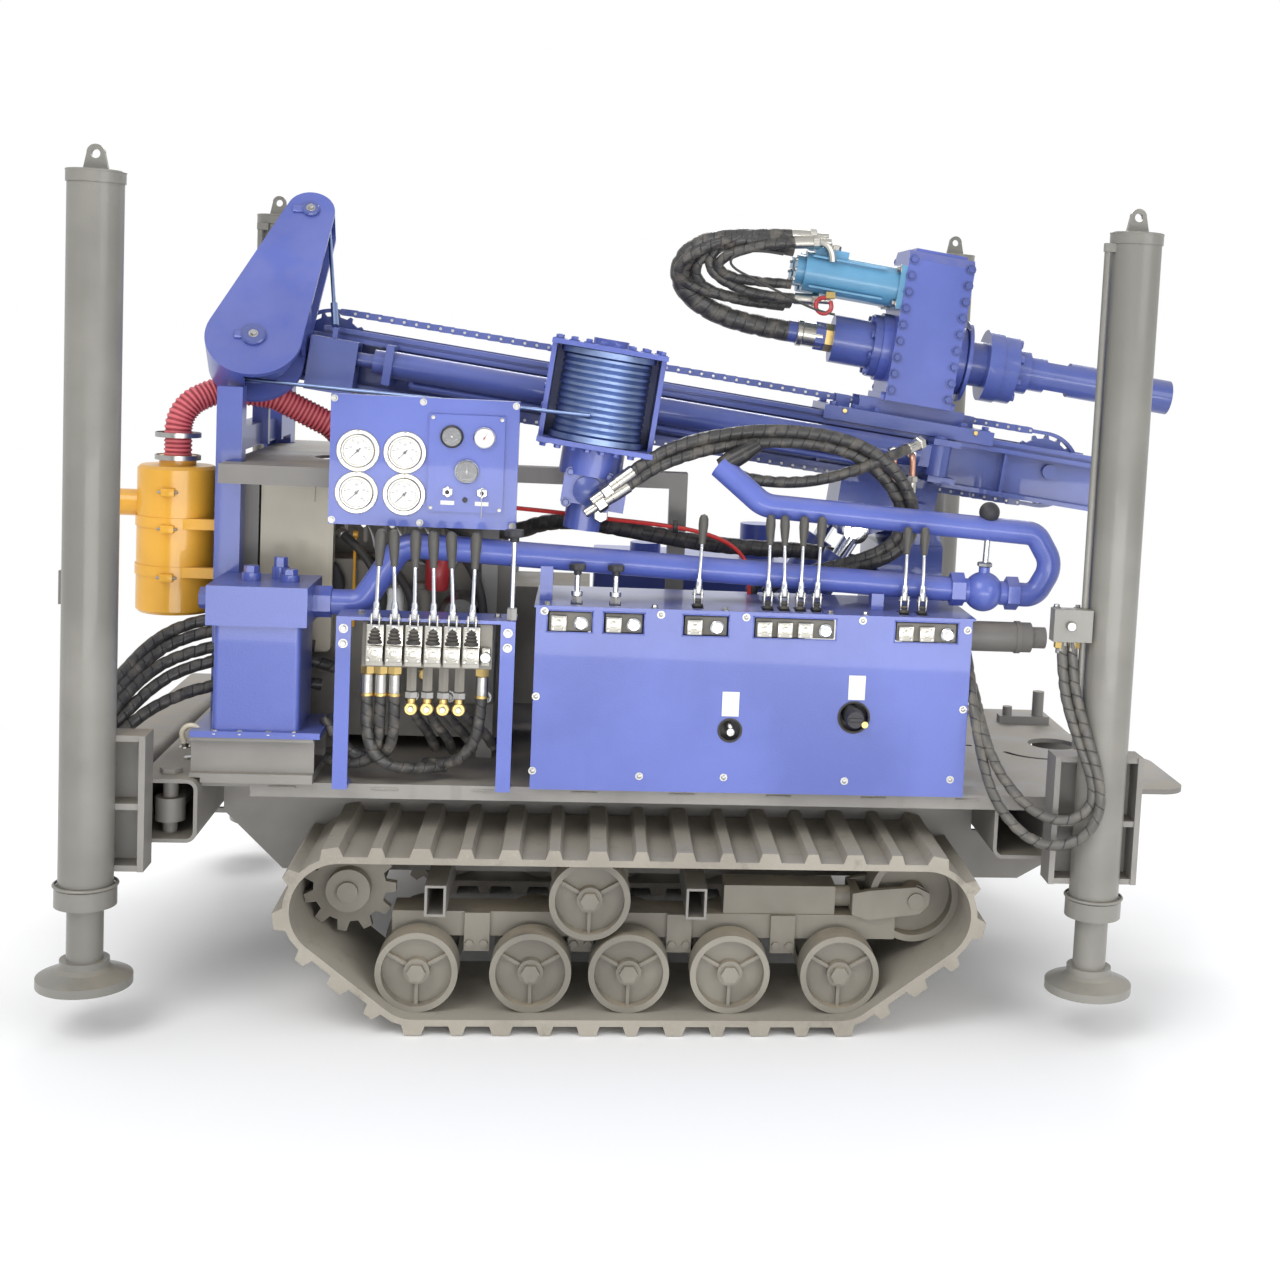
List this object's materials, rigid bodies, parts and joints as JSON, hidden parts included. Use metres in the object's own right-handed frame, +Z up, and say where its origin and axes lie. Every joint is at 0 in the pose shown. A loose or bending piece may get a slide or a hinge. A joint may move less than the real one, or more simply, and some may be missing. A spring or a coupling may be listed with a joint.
{
  "type": "crawler water well drilling rig",
  "caption": "Small tracked water well drilling rig with a tilting mast, rotary head, winch, valve banks and four jack legs on slide-out beams.",
  "frame": {"origin": "on the ground on the centre plane, midway between the outer ends of the machine", "axes": "+X towards the drilling end, +Y away from the controls, +Z up; the tracks stand on z = 0"},
  "size_m": [2.865, 1.65, 2.0071],
  "materials": {
    "blue_paint": "gloss",
    "grey_paint": "satin",
    "tread_rubber": "matt, dried mud",
    "yellow_paint": "gloss",
    "light_blue_paint": "gloss",
    "cream_paint": "satin",
    "steel": "brushed",
    "engine_grey": "cast",
    "red_rubber": "ribbed",
    "dial": "gloss",
    "chrome_rod": "polished",
    "black_metal": "satin"
  },
  "bodies": {
    "chassis": {"track_near": "tread_rubber", "track_far": "tread_rubber", "undercarriage_near": "grey_paint", "undercarriage_far": "grey_paint", "main_frame": "grey_paint", "leg_tubes": "grey_paint", "cross_tubes": "grey_paint", "tongue": "grey_paint", "deck": "grey_paint", "pivot_post": "blue_paint", "engine": "engine_grey", "engine_cover": "cream_paint", "engine_hood": "grey_paint", "radiator": "grey_paint", "gantry": "blue_paint", "oil_tank": "blue_paint", "fuel_tank": "blue_paint", "lubricator": "blue_paint", "tank_riser": "grey_paint", "air_cleaner": "yellow_paint", "intake_hose": "red_rubber", "gauge_panel": "blue_paint", "gauges": "dial", "valve_stand": "blue_paint", "stand_valves": "steel", "control_box": "blue_paint", "box_valves": "steel", "air_pipe": "blue_paint", "return_filter": "grey_paint"},
    "mast": {"mast": "blue_paint", "feed_cylinder": "blue_paint", "feed_chain": "black_metal", "crown_arm": "blue_paint", "winch": "blue_paint", "winch_rope": "steel"},
    "sheave_low": {"sheave_low": "blue_paint"},
    "sheave_high": {"sheave_high": "blue_paint"},
    "winch_drum": {"winch_drum": "steel"},
    "head": {"head_sled": "blue_paint", "head_gearbox": "blue_paint", "head_motors": "light_blue_paint", "swivel": "blue_paint"},
    "spindle": {"spindle": "blue_paint"},
    "tilt_barrels": {"tilt_barrels": "blue_paint"},
    "tilt_rods": {"tilt_rods": "chrome_rod"},
    "outrigger_front_near": {"beam_front_near": "grey_paint", "leg_front_near": "grey_paint"},
    "jack_front_near": {"jack_front_near": "grey_paint"},
    "outrigger_front_far": {"beam_front_far": "grey_paint", "leg_front_far": "grey_paint"},
    "jack_front_far": {"jack_front_far": "grey_paint"},
    "outrigger_rear_near": {"beam_rear_near": "grey_paint", "leg_rear_near": "grey_paint"},
    "jack_rear_near": {"jack_rear_near": "grey_paint"},
    "outrigger_rear_far": {"beam_rear_far": "grey_paint", "leg_rear_far": "grey_paint"},
    "jack_rear_far": {"jack_rear_far": "grey_paint"}
  },
  "joints": [
    {"name": "mast_tilt", "type": "hinge", "parent": "chassis", "child": "mast", "pos_m": [0.6525, 0, 1.19], "axis": [0, 1, 0], "range_deg": [0, 83]},
    {"name": "tilt_barrel_swing", "type": "hinge", "parent": "chassis", "child": "tilt_barrels", "pos_m": [0.2325, 0, 0.76], "axis": [0, 1, 0], "range_deg": [0, 1.33]},
    {"name": "tilt_rod_slide", "type": "slide", "parent": "tilt_barrels", "child": "tilt_rods", "axis": [0.506, 0, 0.8625], "range_m": [0, 0.2442]},
    {"name": "head_feed", "type": "slide", "parent": "mast", "child": "head", "axis": [-0.9925, 0, 0.1219], "range_m": [-0.08, 1.1]},
    {"name": "spindle_spin", "type": "hinge", "parent": "head", "child": "spindle", "pos_m": [0.70661, 0, 1.63069], "axis": [0.9925, 0, -0.1219], "continuous": true},
    {"name": "winch_spin", "type": "hinge", "parent": "mast", "child": "winch_drum", "pos_m": [-0.20512, -0.363, 1.49177], "axis": [0.1219, 0, 0.9925], "continuous": true},
    {"name": "sheave_low_spin", "type": "hinge", "parent": "mast", "child": "sheave_low", "pos_m": [-1.0657, -0.25, 1.56419], "axis": [0.0727, -0.8023, 0.5925], "continuous": true},
    {"name": "sheave_high_spin", "type": "hinge", "parent": "mast", "child": "sheave_high", "pos_m": [-0.97414, 0, 1.89147], "axis": [0.0727, -0.8023, 0.5925], "continuous": true},
    {"name": "outrigger_front_near_slide", "type": "slide", "parent": "chassis", "child": "outrigger_front_near", "axis": [0, -1, 0], "range_m": [0, 0.3]},
    {"name": "outrigger_front_far_slide", "type": "slide", "parent": "chassis", "child": "outrigger_front_far", "axis": [0, 1, 0], "range_m": [0, 0.3]},
    {"name": "outrigger_rear_near_slide", "type": "slide", "parent": "chassis", "child": "outrigger_rear_near", "axis": [0, -1, 0], "range_m": [0, 0.3]},
    {"name": "outrigger_rear_far_slide", "type": "slide", "parent": "chassis", "child": "outrigger_rear_far", "axis": [0, 1, 0], "range_m": [0, 0.3]},
    {"name": "jack_front_near_slide", "type": "slide", "parent": "outrigger_front_near", "child": "jack_front_near", "axis": [0, 0, -1], "range_m": [0, 1.1]},
    {"name": "jack_front_far_slide", "type": "slide", "parent": "outrigger_front_far", "child": "jack_front_far", "axis": [0, 0, -1], "range_m": [0, 1.1]},
    {"name": "jack_rear_near_slide", "type": "slide", "parent": "outrigger_rear_near", "child": "jack_rear_near", "axis": [0, 0, -1], "range_m": [0, 1.1]},
    {"name": "jack_rear_far_slide", "type": "slide", "parent": "outrigger_rear_far", "child": "jack_rear_far", "axis": [0, 0, -1], "range_m": [0, 1.1]}
  ],
  "couplings": [
    {"joint": "tilt_barrel_swing", "follows": "mast_tilt", "ratio": 0.013646},
    {"joint": "tilt_rod_slide", "follows": "mast_tilt", "m_per_rad": 0.16823}
  ]
}
